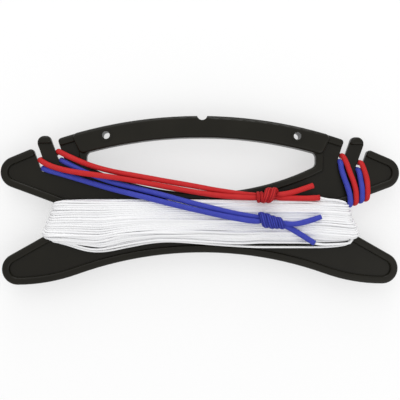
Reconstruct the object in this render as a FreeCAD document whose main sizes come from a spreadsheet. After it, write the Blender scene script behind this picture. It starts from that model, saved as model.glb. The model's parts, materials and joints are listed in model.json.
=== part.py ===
# Flat kite line winder: a one-piece moulded frame with a grip bar and a finger opening, two flying
# lines wound together round its waist, and a sleeved, knotted loop on each of the four line ends.
# Millimetres. X runs along the grip, Y from the legs to the grip, Z through the thickness.
# The origin is the middle of the frame's box.
import FreeCAD, Part

import math
import os

import Sketcher
from FreeCAD import Vector

doc = FreeCAD.newDocument("KiteLineWinder")

# ---------------------------------------------------------------------------------------------
# Driving dimensions
# ---------------------------------------------------------------------------------------------
DIMENSIONS = [
    # plate
    ("half_width", 110.2),
    ("rim_thickness", 6.0),
    ("web_thickness", 2.6),
    ("bead_width", 4.2),
    ("bead_round", 1.5),
    ("bead_inner_round", 1.1),
    # grip bar along the top
    ("crown_height", 46.4),
    ("crown_radius", 250.0),
    ("bar_height", 11.9),
    ("bar_thickness", 10.0),
    ("bar_end_reach", 3.2),
    ("bar_round", 1.9),
    ("bar_end_lean", 24.0),
    ("bar_end_round", 2.8),
    ("root_offset", 2.35),
    ("notch_radius", 2.8),
    ("notch_depth", 2.4),
    ("hole_diameter", 4.1),
    ("hole_spacing", 105.0),
    ("hole_drop", 5.4),
    ("boss_diameter", 6.6),
    ("boss_height", 0.35),
    # finger opening
    ("opening_end_wall", 13.65),
    ("opening_end_height", 6.9),
    ("opening_foot", 4.1),
    ("opening_corner_round", 3.2),
    ("opening_edge_round", 1.2),
    # tabs and slots
    ("slot_width", 3.1),
    ("slot_lean", 20.0),
    ("outer_slot_inset", 23.3),
    ("outer_slot_depth", 18.1),
    ("tab_pitch", 9.95),
    ("inner_slot_depth", 13.6),
    ("tab_drop", 11.2),
    ("tab_inner_round", 2.4),
    ("tab_outer_round", 3.8),
    ("mouth_round", 1.8),
    # wings
    ("wing_mouth_width", 5.8),
    ("wing_axis_y", 15.3),
    ("wing_tip_radius", 8.7),
    ("wing_top_slope", 22.8),
    ("wing_under_slope", 20.3),
    # waist
    ("waist_inset", 33.2),
    ("waist_lean", 19.6),
    ("waist_round", 3.0),
    # legs
    ("leg_inset", 0.8),
    ("leg_tip_radius", 8.65),
    ("leg_axis_y", -37.75),
    ("leg_top_slope", 29.5),
    ("arch_top", -28.9),
    ("arch_radius", 203.0),
    # flying lines, wound as one hank
    ("line_diameter", 1.1),
    ("hank_thickness", 4.4),
    ("hank_edge_round", 2.6),
    ("hank_top", 0.2),
    ("hank_right_top", 2.6),
    ("hank_right_neck", 3.8),
    ("hank_neck_y", -4.8),
    ("hank_right_bulge", 7.3),
    ("hank_bulge_y", -9.5),
    ("hank_left_top", 4.2),
    ("hank_left_shoulder", 6.6),
    ("hank_shoulder_y", -6.4),
    ("hank_end", 10.4),
    ("hank_end_y", -19.4),
    ("hank_toe", 7.6),
    ("hank_toe_y", -23.2),
    ("hank_low_y", -25.1),
    ("hank_run_x", 26.0),
    ("hank_run_y", -26.0),
    ("hank_middle_x", -14.0),
    ("hank_middle_y", -23.3),
    ("hank_sag_x", -55.0),
    ("hank_sag_y", -28.6),
    # sleeved loops
    ("sleeve_diameter", 3.0),
    ("knot_length", 12.6),
    ("knot_width", 8.4),
]

sheet = doc.addObject("Spreadsheet::Sheet", "Sizes")
for row, (alias, number) in enumerate(DIMENSIONS, start=1):
    sheet.set(f"A{row}", alias)
    sheet.set(f"B{row}", str(number))
    sheet.setAlias(f"B{row}", alias)
doc.recompute()

# places and sizes that follow from the driving ones, as expressions
DERIVED = [
    ("outer_slot_x", "Sizes.half_width - Sizes.outer_slot_inset"),
    ("inner_slot_x", "Derived.outer_slot_x - Sizes.tab_pitch"),
    ("root_x", "Derived.inner_slot_x + Sizes.root_offset"),
    ("wing_corner_x", "Derived.outer_slot_x + Sizes.wing_mouth_width"),
    ("tab_top", "Sizes.crown_height - Sizes.tab_drop"),
    ("inner_slot_y", "Derived.tab_top - Sizes.inner_slot_depth"),
    ("outer_slot_y", "Derived.tab_top - Sizes.outer_slot_depth"),
    ("crown_fall", "Sizes.crown_radius - sqrt(Sizes.crown_radius^2 - (Sizes.hole_spacing / 2)^2)"),
    ("hole_y", "Sizes.crown_height - Derived.crown_fall - Sizes.hole_drop"),
    # the grip's under side is an arc about the crown's centre
    ("grip_radius", "Sizes.crown_radius - Sizes.bar_height"),
    ("opening_half_length", "Derived.inner_slot_x - Sizes.opening_end_wall"),
    ("grip_drop", "Derived.grip_radius - sqrt(Derived.grip_radius^2 - Derived.opening_half_length^2)"),
    ("opening_end_top", "Sizes.crown_height - Sizes.bar_height - Derived.grip_drop"),
    ("opening_rise", "Derived.opening_end_top - Sizes.opening_end_height - Sizes.opening_foot"),
    ("opening_lower_radius",
     "(Derived.opening_half_length^2 + Derived.opening_rise^2) / (2 * Derived.opening_rise)"),
    ("bar_half_length", "Derived.opening_half_length + Sizes.bar_end_reach"),
    ("bar_edge_round", "min(Sizes.bar_round; 0.46 * (Sizes.bar_thickness - Sizes.rim_thickness))"),
    ("bead_edge_round", "min(Sizes.bead_round; 0.45 * (Sizes.rim_thickness - Sizes.web_thickness))"),
    ("bead_foot_round", "min(Sizes.bead_inner_round; 0.33 * (Sizes.rim_thickness - Sizes.web_thickness))"),
    ("waist_top_x", "Sizes.half_width - Sizes.waist_inset"),
    ("leg_tip_x", "Sizes.half_width - Sizes.leg_inset"),
    # the foot is an arc that touches the leg's lowest point and the arch
    ("foot_reach", "Derived.leg_tip_x - Sizes.leg_tip_radius"),
    ("foot_rise", "Sizes.leg_axis_y - Sizes.leg_tip_radius - Sizes.arch_top + Sizes.arch_radius"),
    ("foot_fall", "Sizes.arch_radius - Derived.foot_rise"),
    ("foot_radius",
     "(Derived.foot_reach^2 + Derived.foot_rise^2 - Sizes.arch_radius^2) / (2 * Derived.foot_fall)"),
    ("arch_half_length",
     "Derived.foot_reach * Sizes.arch_radius / (Sizes.arch_radius + Derived.foot_radius)"),
]

derived = doc.addObject("App::VarSet", "Derived")
for name, formula in DERIVED:
    derived.addProperty("App::PropertyFloat", name)
    derived.setExpression(name, formula)
doc.recompute()


def evaluate(expression):
    """Number of an expression over the sheet, such as 'Sizes.bead_width / 2'."""
    result = sheet.evalExpression(expression)
    return float(getattr(result, "Value", result))


def size(alias):
    return float(sheet.get(alias))


def at(x, y):
    """Numbers of a point whose x and y are expressions."""
    return evaluate(x), evaluate(y)


# ---------------------------------------------------------------------------------------------
# Sketch helpers
# ---------------------------------------------------------------------------------------------
def new_body(label):
    body = doc.addObject("PartDesign::Body", label)
    body.Label = label
    return body


def new_sketch(body, name, role="XY_Plane"):
    plane = next(item for item in body.Origin.OriginFeatures if item.Role == role)
    sketch = body.newObject("Sketcher::SketchObject", name)
    sketch.AttachmentSupport = (plane, [""])
    sketch.MapMode = "FlatFace"
    return sketch


def bind(owner, constraint, expression):
    owner.renameConstraint(constraint, f"size_{constraint}")
    owner.setExpression(f"Constraints.size_{constraint}", expression)


def draw_profile(sketch, corners):
    """Closed chain of lines and arcs.

    A corner is (x, y, bulge), each x and y an expression. The bulge says what leads to the next
    corner: None is a line, ("radius", r, side) an arc of radius r whose centre lies to the left
    (+1) or the right (-1) of the way along, and ("centre", y, side) an arc about a centre at
    height y, for a half circle.
    """
    points = [Vector(evaluate(x), evaluate(y), 0) for x, y, bulge in corners]
    starts = []
    for index, (start, corner) in enumerate(zip(points, corners)):
        end = points[(index + 1) % len(points)]
        bulge = corner[2]
        if bulge is None:
            edge = sketch.addGeometry(Part.LineSegment(start, end), False)
            starts.append((edge, 1, 2))
            continue
        kind, amount, side = bulge
        chord = end - start
        half = chord.Length / 2
        across = Vector(-chord.y, chord.x, 0).normalize() * side
        if kind == "radius":
            reach = math.sqrt(max(evaluate(amount) ** 2 - half ** 2, 0))
            centre = (start + end) * 0.5 + across * reach
        else:
            centre = (start + end) * 0.5
        radius = (start - centre).Length
        first, last = (start, end) if side > 0 else (end, start)
        angles = [math.atan2(p.y - centre.y, p.x - centre.x) for p in (first, last)]
        circle = Part.Circle(centre, Vector(0, 0, 1), radius)
        edge = sketch.addGeometry(Part.ArcOfCircle(circle, angles[0], angles[1]), False)
        starts.append((edge, 1, 2) if side > 0 else (edge, 2, 1))
        if kind == "radius":
            bind(sketch, sketch.addConstraint(Sketcher.Constraint("Radius", edge, radius)), amount)
        else:
            place = Sketcher.Constraint("DistanceY", -1, 1, edge, 3, centre.y)
            bind(sketch, sketch.addConstraint(place), amount)
    for index, (edge, first, last) in enumerate(starts):
        following, next_first, _ = starts[(index + 1) % len(starts)]
        sketch.addConstraint(Sketcher.Constraint("Coincident", edge, last, following, next_first))
        point, corner = points[index], corners[index]
        for kind, number, expression in zip(("DistanceX", "DistanceY"), point, corner[:2]):
            place = Sketcher.Constraint(kind, -1, 1, edge, first, number)
            bind(sketch, sketch.addConstraint(place), expression)


def mirrored(corners):
    """Corners of the +X half, followed by the same corners of the -X half in reverse."""
    other = []
    for index in range(len(corners) - 1, -1, -1):
        x, y, _ = corners[index]
        bulge = corners[index - 1][2] if index else None
        other.append((f"-({x})", y, bulge))
    return corners + other


def draw_circles(sketch, places, diameter):
    """Circles in a sketch, each place an (x, y) pair of expressions."""
    for place in places:
        centre = Vector(*at(*place), 0)
        width = evaluate(diameter)
        edge = sketch.addGeometry(Part.Circle(centre, Vector(0, 0, 1), width / 2), False)
        bind(sketch, sketch.addConstraint(Sketcher.Constraint("Diameter", edge, width)), diameter)
        for kind, number, expression in zip(("DistanceX", "DistanceY"), centre, place):
            spot = Sketcher.Constraint(kind, -1, 1, edge, 3, number)
            bind(sketch, sketch.addConstraint(spot), expression)


def pad(body, name, sketch, length):
    feature = body.newObject("PartDesign::Pad", name)
    feature.Profile = sketch
    feature.setExpression("Length", length)
    feature.Midplane = True
    doc.recompute()
    return feature


def pocket(body, name, sketch, length, reverse=False, midplane=False):
    feature = body.newObject("PartDesign::Pocket", name)
    feature.Profile = sketch
    feature.setExpression("Length", length)
    feature.Midplane = midplane
    feature.Reversed = reverse
    doc.recompute()
    return feature


def is_sharp(shape, edge):
    """Whether the two faces that meet at the edge turn by more than a few degrees."""
    faces = shape.ancestorsOfType(edge, Part.Face)
    if len(faces) != 2:
        return False
    middle = edge.valueAt((edge.FirstParameter + edge.LastParameter) / 2)
    normals = [face.normalAt(*face.Surface.parameter(middle)) for face in faces]
    return normals[0].getAngle(normals[1]) > math.radians(5)


def round_edges(body, name, base, radius, chosen):
    """Fillet of the edges of the last feature that the test `chosen` picks."""
    edges = [f"Edge{number}" for number, edge in enumerate(base.Shape.Edges, start=1)
             if chosen(edge) and is_sharp(base.Shape, edge)]
    if not edges:
        raise RuntimeError(f"{name} found no edge to round")
    feature = body.newObject("PartDesign::Fillet", name)
    feature.Base = (base, edges)
    feature.setExpression("Radius", radius)
    doc.recompute()
    return feature


def flat_at(heights):
    """Test for edges that lie at one of the heights."""
    def test(edge):
        box = edge.BoundBox
        return box.ZLength < 1e-4 and any(abs(box.ZMin - height) < 1e-3 for height in heights)
    return test


def upright_at(places):
    """Test for edges along Z that stand at one of the places, each an (x, y) pair of numbers."""
    def test(edge):
        ends = [vertex.Point for vertex in edge.Vertexes]
        if len(ends) != 2 or abs(ends[0].z - ends[1].z) < 0.5 * edge.Length:
            return False
        middle = (ends[0] + ends[1]) * 0.5
        return any(math.hypot(abs(middle.x) - abs(x), middle.y - y) < 0.05 for x, y in places)
    return test


# ---------------------------------------------------------------------------------------------
# Frame
# ---------------------------------------------------------------------------------------------
def on_arc(apex, radius, x, side):
    """Height at x of an arc about the Y axis whose apex is on the axis; side -1 bulges up."""
    if side < 0:
        return f"{apex} - {radius} + sqrt(({radius})^2 - ({x})^2)"
    return f"{apex} + {radius} - sqrt(({radius})^2 - ({x})^2)"


def slot_side(slot, side, along):
    """Point on a slot's side, `along` millimetres from the level of its round end's centre."""
    across = f"{side} * Sizes.slot_width / 2"
    x = f"Derived.{slot}_slot_x + {across} * cos(Sizes.slot_lean) + ({along}) * sin(Sizes.slot_lean)"
    y = f"Derived.{slot}_slot_y - {across} * sin(Sizes.slot_lean) + ({along}) * cos(Sizes.slot_lean)"
    return x, y


def slot_side_at(slot, side, height):
    """Point on a slot's side at a height."""
    across = f"{side} * Sizes.slot_width / 2"
    along = (f"(({height}) - Derived.{slot}_slot_y + {across} * sin(Sizes.slot_lean))"
             f" / cos(Sizes.slot_lean)")
    return slot_side(slot, side, along)


WING_CENTRE_X = "(Sizes.half_width - Sizes.wing_tip_radius)"
LEG_CENTRE_X = "(Derived.leg_tip_x - Sizes.leg_tip_radius)"


def wing_top(inset):
    reach = f"(Sizes.wing_tip_radius - ({inset}))"
    return (f"{WING_CENTRE_X} + {reach} * sin(Sizes.wing_top_slope)",
            f"Sizes.wing_axis_y + {reach} * cos(Sizes.wing_top_slope)")


def wing_under(inset):
    reach = f"(Sizes.wing_tip_radius - ({inset}))"
    return (f"{WING_CENTRE_X} + {reach} * sin(Sizes.wing_under_slope)",
            f"Sizes.wing_axis_y - {reach} * cos(Sizes.wing_under_slope)")


def leg_top(inset):
    reach = f"(Sizes.leg_tip_radius - ({inset}))"
    return (f"{LEG_CENTRE_X} + {reach} * sin(Sizes.leg_top_slope)",
            f"Sizes.leg_axis_y + {reach} * cos(Sizes.leg_top_slope)")


def leg_under(inset):
    return LEG_CENTRE_X, f"Sizes.leg_axis_y - (Sizes.leg_tip_radius - ({inset}))"


def wing_line(x, inset):
    """Height of the wing's top edge at x."""
    top_x, top_y = wing_top(inset)
    return f"{top_y} + ({top_x} - ({x})) * tan(Sizes.wing_top_slope)"


def waist_corners(inset):
    """The two corners at the bottom of the winding notch, moved into the plate by the inset."""
    under_x, under_y = wing_under("0")
    high_x = "Derived.waist_top_x"
    high_y = f"({under_y} - ({under_x} - {high_x}) * tan(Sizes.wing_under_slope))"
    over_x, over_y = leg_top("0")
    lean = "tan(Sizes.waist_lean)"
    slope = "tan(Sizes.leg_top_slope)"
    low_x = (f"(({high_x} + ({high_y} - ({over_y}) - ({over_x}) * {slope}) * {lean})"
             f" / (1 - {slope} * {lean}))")
    low_y = f"({over_y} + ({over_x} - {low_x}) * {slope})"
    # where the two sides meet again once each has moved in by the inset
    high_share = f"({inset}) / (1 + sin(Sizes.wing_under_slope - Sizes.waist_lean))"
    low_share = f"({inset}) / (1 + sin(Sizes.waist_lean + Sizes.leg_top_slope))"
    return [
        (f"{high_x} - {high_share} * (sin(Sizes.wing_under_slope) + cos(Sizes.waist_lean))",
         f"{high_y} + {high_share} * (cos(Sizes.wing_under_slope) - sin(Sizes.waist_lean))"),
        (f"{low_x} - {low_share} * (cos(Sizes.waist_lean) + sin(Sizes.leg_top_slope))",
         f"{low_y} - {low_share} * (sin(Sizes.waist_lean) + cos(Sizes.leg_top_slope))"),
    ]


def lower_edge(inset):
    """Corners of the wing's tip, notch, leg and foot on the +X side, down to the arch."""
    wing_radius = f"(Sizes.wing_tip_radius - ({inset}))"
    leg_radius = f"(Sizes.leg_tip_radius - ({inset}))"
    high, low = waist_corners(inset)
    arch_radius = f"(Sizes.arch_radius + ({inset}))"
    arch_x = f"(Derived.arch_half_length * {arch_radius} / Sizes.arch_radius)"
    arch_y = f"Sizes.arch_top - Sizes.arch_radius + sqrt({arch_radius}^2 - {arch_x}^2)"
    return [
        (*wing_top(inset), ("radius", wing_radius, -1)),
        (*wing_under(inset), None),
        (*high, None),
        (*low, None),
        (*leg_top(inset), ("radius", leg_radius, -1)),
        (*leg_under(inset), ("radius", f"Derived.foot_radius - ({inset})", -1)),
        (arch_x, arch_y, ("radius", arch_radius, 1)),
    ]


def rim_edge(shape, wall, in_opening):
    """Test for the rim's level edges beside an upright wall of a height, in the opening or not."""
    half_length = evaluate("Derived.opening_half_length") + 0.01
    foot = size("opening_foot") - 0.01
    level = flat_at([size("rim_thickness") / 2, -size("rim_thickness") / 2])

    def test(edge):
        faces = shape.ancestorsOfType(edge, Part.Face)
        if not level(edge) or all(abs(face.BoundBox.ZLength - wall) > 1e-3 for face in faces):
            return False
        middle = edge.valueAt((edge.FirstParameter + edge.LastParameter) / 2)
        under_bar = size("crown_height") - size("bar_height") + 0.01
        return (abs(middle.x) < half_length and foot < middle.y < under_bar) == in_opening
    return test


frame = new_body("winder_frame")

root_y = on_arc("Sizes.crown_height", "Sizes.crown_radius", "Derived.root_x", -1)
wing_corner_y = wing_line("Derived.wing_corner_x", "0")
outline = [
    ("Derived.root_x", root_y, None),
    (*slot_side("inner", -1, "0"), ("centre", "Derived.inner_slot_y", 1)),
    (*slot_side("inner", 1, "0"), None),
    (*slot_side_at("inner", 1, "Derived.tab_top"), None),
    (*slot_side_at("outer", -1, "Derived.tab_top"), None),
    (*slot_side("outer", -1, "0"), ("centre", "Derived.outer_slot_y", 1)),
    (*slot_side("outer", 1, "0"), None),
    ("Derived.wing_corner_x", wing_corner_y, None),
    *lower_edge("0"),
]
# the chain runs clockwise; the crown arc closes it over the top
whole = mirrored(outline)
whole[-1] = (whole[-1][0], whole[-1][1], ("radius", "Sizes.crown_radius", -1))
plate_sketch = new_sketch(frame, "PlateOutline")
draw_profile(plate_sketch, whole)
doc.recompute()
plate = pad(frame, "Plate", plate_sketch, "Sizes.rim_thickness")

# recessed panel on both faces, inside a bead that follows the outline and the finger opening
bead = "Sizes.bead_width"
panel_x = f"Derived.opening_half_length + {bead}"
panel_low = on_arc(f"Sizes.opening_foot - {bead}", f"Derived.opening_lower_radius + {bead}", panel_x, 1)
crown_inner = f"Sizes.crown_radius - {bead}"
panel_top = on_arc(f"Sizes.crown_height - {bead}", f"({crown_inner})", panel_x, -1)
root_inner = on_arc(f"Sizes.crown_height - {bead}", f"({crown_inner})", "Derived.root_x", -1)
tab_inner_top = f"Derived.tab_top - {bead}"
wing_start = "Derived.wing_corner_x - 0.8 * Sizes.slot_width"
panel = [
    (panel_x, panel_low, None),
    (panel_x, panel_top, ("radius", crown_inner, -1)),
    ("Derived.root_x", root_inner, None),
    (slot_side_at("inner", 0, tab_inner_top)[0], tab_inner_top, None),
    (slot_side_at("outer", 0, tab_inner_top)[0], tab_inner_top, None),
    (wing_start, wing_line(wing_start, bead), None),
    *lower_edge(bead),
]
panel_whole = mirrored(panel)
lower_arc = ("radius", f"Derived.opening_lower_radius + {bead}", 1)
panel_whole[-1] = (panel_whole[-1][0], panel_whole[-1][1], lower_arc)
depth = "(Sizes.rim_thickness - Sizes.web_thickness) / 2"
last = plate
for name, sign in (("FrontPanel", 1), ("BackPanel", -1)):
    sketch = new_sketch(frame, f"{name}Outline")
    sketch.setExpression(".AttachmentOffset.Base.z", f"{sign} * Sizes.rim_thickness / 2")
    draw_profile(sketch, panel_whole)
    doc.recompute()
    last = pocket(frame, name, sketch, depth, reverse=sign < 0)

# finger opening
opening_end = "Derived.opening_half_length"
opening_top = "Derived.opening_end_top"
opening_low = "Derived.opening_end_top - Sizes.opening_end_height"
opening_whole = mirrored([
    (opening_end, opening_top, None),
    (opening_end, opening_low, ("radius", "Derived.opening_lower_radius", -1)),
])
opening_whole[-1] = (*opening_whole[-1][:2], ("radius", "Derived.grip_radius", -1))
opening_sketch = new_sketch(frame, "OpeningOutline")
draw_profile(opening_sketch, opening_whole)
doc.recompute()
last = pocket(frame, "FingerOpening", opening_sketch, "2 * Sizes.bar_thickness", midplane=True)

# corners seen from the front, then the bead's outer and inner edges and the opening's edge
corner_rounds = [
    ("MouthRound", "Sizes.mouth_round", [outline[0], outline[7]]),
    ("TabInnerRound", "Sizes.tab_inner_round", [outline[3]]),
    ("TabOuterRound", "Sizes.tab_outer_round", [outline[4]]),
    ("WaistRound", "Sizes.waist_round", waist_corners("0")),
    ("PanelRound", "Sizes.mouth_round", [(panel_x, panel_low), (panel_x, panel_top)]),
    ("OpeningRound", "Sizes.opening_corner_round",
     [(opening_end, opening_top), (opening_end, opening_low)]),
]
for name, radius, corners in corner_rounds:
    last = round_edges(frame, name, last, radius, upright_at([at(*corner[:2]) for corner in corners]))
rim = size("rim_thickness") / 2
recess = evaluate(depth)
edge_rounds = [
    ("BeadOuterRound", "Derived.bead_edge_round", 2 * rim, False),
    ("BeadInnerRound", "Derived.bead_foot_round", recess, False),
    ("OpeningEdgeRound", "Sizes.opening_edge_round", 2 * rim, True),
]
for name, radius, wall, in_opening in edge_rounds:
    last = round_edges(frame, name, last, radius, rim_edge(last.Shape, wall, in_opening))

# grip bar, thicker than the rim, with rounded edges and a low boss round each hanging hole
grip = new_body("grip_bar")
bar_under = "Sizes.crown_height - Sizes.bar_height"
bar_foot = on_arc(bar_under, "Derived.grip_radius", "Derived.bar_half_length", -1)
bar_lean = "Sizes.bar_height * tan(Sizes.bar_end_lean)"
bar_tip_x = f"Derived.bar_half_length + {bar_lean}"
bar_end = [
    (bar_tip_x, on_arc("Sizes.crown_height", "Sizes.crown_radius", f"({bar_tip_x})", -1), None),
    ("Derived.bar_half_length", bar_foot, None),
]
bar_whole = mirrored(bar_end)
bar_whole[1] = (*bar_whole[1][:2], ("radius", "Derived.grip_radius", 1))
bar_whole[-1] = (*bar_whole[-1][:2], ("radius", "Sizes.crown_radius", -1))
bar_sketch = new_sketch(grip, "BarOutline")
draw_profile(bar_sketch, bar_whole)
doc.recompute()
bar = pad(grip, "Bar", bar_sketch, "Sizes.bar_thickness")
bar = round_edges(grip, "BarEndRound", bar, "Sizes.bar_end_round",
                  upright_at([at(*corner[:2]) for corner in bar_end]))
top = size("bar_thickness") / 2
round_edges(grip, "BarRound", bar, "Derived.bar_edge_round", flat_at([top, -top]))
hole_places = [(f"{side} * Sizes.hole_spacing / 2", "Derived.hole_y") for side in (1, -1)]
boss_sketch = new_sketch(grip, "BossOutline")
draw_circles(boss_sketch, hole_places, "Sizes.boss_diameter")
pad(grip, "Bosses", boss_sketch, "Sizes.bar_thickness + 2 * Sizes.boss_height")
joined = frame.newObject("PartDesign::Boolean", "GripJoin")
joined.Type = "Fuse"
joined.setObjects([grip])
doc.recompute()

# hanging holes, and the thumb notch in the crown
hole_sketch = new_sketch(frame, "HoleOutline")
draw_circles(hole_sketch, hole_places, "Sizes.hole_diameter")
pocket(frame, "HangingHoles", hole_sketch, "2 * Sizes.bar_thickness", midplane=True)
notch_sketch = new_sketch(frame, "NotchOutline")
notch_place = ("0", "Sizes.crown_height + Sizes.notch_radius - Sizes.notch_depth")
draw_circles(notch_sketch, [notch_place], "2 * Sizes.notch_radius")
pocket(frame, "CrownNotch", notch_sketch, "2 * Sizes.bar_thickness", midplane=True)


# ---------------------------------------------------------------------------------------------
# Hank of flying line round the waist
# ---------------------------------------------------------------------------------------------
hank_body = new_body("hank_blank")
waist = "Derived.waist_top_x"
hank_outline = [
    (f"{waist} + Sizes.hank_right_top", "Sizes.hank_top", None),
    (f"{waist} + Sizes.hank_right_neck", "Sizes.hank_neck_y", None),
    (f"{waist} + Sizes.hank_right_bulge", "Sizes.hank_bulge_y", None),
    (f"{waist} + Sizes.hank_end", "Sizes.hank_end_y", None),
    (f"{waist} + Sizes.hank_toe", "Sizes.hank_toe_y", None),
    (waist, "Sizes.hank_low_y", None),
    ("Sizes.hank_run_x", "Sizes.hank_run_y", None),
    ("Sizes.hank_middle_x", "Sizes.hank_middle_y", None),
    ("Sizes.hank_sag_x", "Sizes.hank_sag_y", None),
    (f"-{waist}", "Sizes.hank_low_y", None),
    (f"-({waist} + Sizes.hank_toe)", "Sizes.hank_toe_y", None),
    (f"-({waist} + Sizes.hank_end)", "Sizes.hank_end_y", None),
    (f"-({waist} + Sizes.hank_left_shoulder)", "Sizes.hank_shoulder_y", None),
    (f"-({waist} + Sizes.hank_left_top)", "Sizes.hank_top", None),
]
hank_sketch = new_sketch(hank_body, "HankOutline")
draw_profile(hank_sketch, hank_outline)
hank_pad = pad(hank_body, "HankPad", hank_sketch, "Sizes.rim_thickness + 2 * Sizes.hank_thickness")
hank_face = rim + size("hank_thickness")
round_edges(hank_body, "HankEdgeRound", hank_pad, "Sizes.hank_edge_round", flat_at([hank_face, -hank_face]))

# the waist that the turns go round: the plate's outline with its edges left square
core_body = new_body("waist_core")
core_sketch = new_sketch(core_body, "CoreOutline")
high, low = waist_corners("0")
core_out = "(Sizes.half_width + 20)"
core = [
    (core_out, "Sizes.crown_height", None),
    (core_out, f"{high[1]} + ({core_out} - {high[0]}) * tan(Sizes.wing_under_slope)", None),
    (*high, None),
    (*low, None),
    (core_out, f"{low[1]} - ({core_out} - {low[0]}) * tan(Sizes.leg_top_slope)", None),
    (core_out, f"{low[1]} - 2 * {core_out}", None),
]
draw_profile(core_sketch, mirrored(core))
core_pad = pad(core_body, "Core", core_sketch, "Sizes.rim_thickness")
round_edges(core_body, "CoreWaistRound", core_pad, "Sizes.waist_round",
            upright_at([at(*corner) for corner in (high, low)]))

hank = doc.addObject("Part::Cut", "line_hank")
hank.Base = hank_body
hank.Tool = core_body
hank.Label = "line_hank"
doc.recompute()


# ---------------------------------------------------------------------------------------------
# Sleeved loops, knots, tails and the line that leaves each tail
# ---------------------------------------------------------------------------------------------
ARC_SHARE = 0.45


def route_wire(points):
    """Straight runs joined by tangent arcs, and the list of the arcs' radii."""
    spots = [Vector(*point) for point in points]
    edges, radii = [], []
    place = spots[0]
    for before, corner, after in zip(spots, spots[1:], spots[2:]):
        back = (before - corner).normalize()
        ahead = (after - corner).normalize()
        turn = math.pi - back.getAngle(ahead)
        cut = ARC_SHARE * min((before - corner).Length, (after - corner).Length)
        radius = cut / math.tan(turn / 2)
        middle = (back + ahead).normalize()
        start, end = corner + back * cut, corner + ahead * cut
        top = corner + middle * (math.hypot(radius, cut) - radius)
        edges += [Part.LineSegment(place, start).toShape(), Part.Arc(start, top, end).toShape()]
        radii.append(radius)
        place = end
    edges.append(Part.LineSegment(place, spots[-1]).toShape())
    return Part.Wire(edges), radii


def cord(label, points, diameter):
    """Round cord along a route, as a solid of its own."""
    wire, radii = route_wire(points)
    direction = Vector(*points[1]) - Vector(*points[0])
    circle = Part.Wire(Part.makeCircle(diameter / 2, Vector(*points[0]), direction))
    shape = wire.makePipeShell([circle], True, False)
    feature = doc.addObject("Part::Feature", label)
    feature.Shape = shape
    feature.Label = label
    swept = math.pi * diameter ** 2 / 4 * wire.Length
    print(f"{label}: length {wire.Length:.0f}, volume {shape.Volume / swept:.4f} of section x length,"
          f" least radii {[round(radius, 1) for radius in sorted(radii)[:4]]}")
    return feature


def knot(label, centre, heading):
    """Tied sleeve: a round barrel of three wraps about its own axis."""
    body = new_body(label)
    sketch = new_sketch(body, f"{label}_profile", "XZ_Plane")
    shares = [(-0.5, 0.52), (-0.34, 0.86), (-0.17, 0.78), (0.02, 1.0), (0.2, 0.84), (0.34, 0.8), (0.5, 0.5)]
    stations = [(f"{along} * Sizes.knot_length", f"{share} * Sizes.knot_width / 2", None)
                for along, share in shares]
    ends = [("0.5 * Sizes.knot_length", "0", None), ("-0.5 * Sizes.knot_length", "0", None)]
    draw_profile(sketch, stations + ends)
    turned = body.newObject("PartDesign::Revolution", f"{label}_barrel")
    turned.Profile = sketch
    turned.ReferenceAxis = (sketch, ["H_Axis"])
    turned.Angle = 360
    doc.recompute()
    body.Placement = FreeCAD.Placement(Vector(*centre), FreeCAD.Rotation(Vector(0, 0, 1), heading))
    return body


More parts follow.
